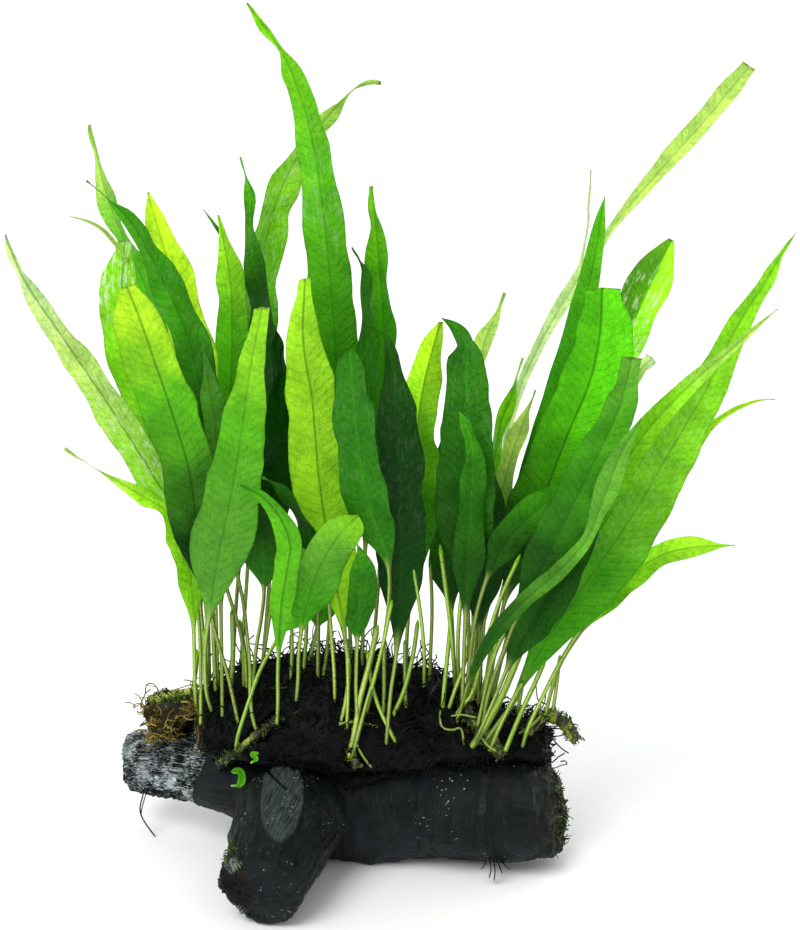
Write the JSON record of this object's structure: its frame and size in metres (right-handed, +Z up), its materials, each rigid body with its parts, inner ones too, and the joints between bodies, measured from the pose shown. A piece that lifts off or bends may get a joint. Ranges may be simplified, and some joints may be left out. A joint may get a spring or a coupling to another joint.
{
  "type": "java fern on driftwood",
  "caption": "Aquarium fern with narrow upright fronds on creeping rhizomes and root mats, grown fast to a forked piece of dark driftwood.",
  "frame": {"origin": "on the flat sole of the driftwood's trunk, where it rests on the floor", "axes": "+Z up through the fronds; +X along the trunk to the viewer's right; -Y towards the viewer, the way the front branch points"},
  "size_m": [0.2188, 0.106, 0.2581],
  "materials": {
    "driftwood": "dark waterlogged wood, wet sheen on charred bark and smooth sawn grain",
    "rhizome": "green-brown creeping stem, semi-matte",
    "roots": "dark brown tangle of fine roots, matte",
    "leaf": "green frond, wet and slightly glossy, lets light through",
    "young_leaf": "bright young leaf, semi-matte"
  },
  "bodies": {
    "root": {"driftwood_front_branch": "driftwood", "driftwood_left_branch": "driftwood", "driftwood_trunk": "driftwood", "frond_behind": "leaf", "frond_centre_dark": "leaf", "frond_centre_lime": "leaf", "frond_centre_narrow": "leaf", "frond_centre_olive": "leaf", "frond_centre_yellow": "leaf", "frond_curled_tip": "leaf", "frond_darkest": "leaf", "frond_far_left": "leaf", "frond_folded": "leaf", "frond_front_arch": "leaf", "frond_front_blunt": "leaf", "frond_front_left": "leaf", "frond_left_arch": "leaf", "frond_left_bright": "leaf", "frond_left_broad": "leaf", "frond_left_grey": "leaf", "frond_left_mid": "leaf", "frond_left_olive": "leaf", "frond_left_tall": "leaf", "frond_left_thin": "leaf", "frond_left_yellow": "leaf", "frond_low_left": "leaf", "frond_right_back": "leaf", "frond_right_bright": "leaf", "frond_right_clear": "leaf", "frond_right_deep": "leaf", "frond_right_diagonal": "leaf", "frond_right_edge": "leaf", "frond_right_fork": "leaf", "frond_right_glossy": "leaf", "frond_right_grey": "leaf", "frond_right_lapped": "leaf", "frond_right_large": "leaf", "frond_right_low": "leaf", "frond_right_low_dark": "leaf", "frond_right_olive": "leaf", "frond_right_pale_tip": "leaf", "frond_right_round": "leaf", "frond_right_spear": "leaf", "frond_right_tall": "leaf", "frond_right_twist": "leaf", "frond_round_dark": "leaf", "frond_round_tip": "leaf", "frond_small_back": "leaf", "frond_small_mid": "leaf", "frond_tallest": "leaf", "frond_thin_spear": "leaf", "plantlet_lower": "young_leaf", "plantlet_upper": "young_leaf", "rhizome_end": "rhizome", "rhizome_front": "rhizome", "rhizome_left": "rhizome", "rhizome_middle": "rhizome", "rhizome_right": "rhizome", "root_mat": "roots", "root_mat_left": "roots"}
  },
  "joints": []
}
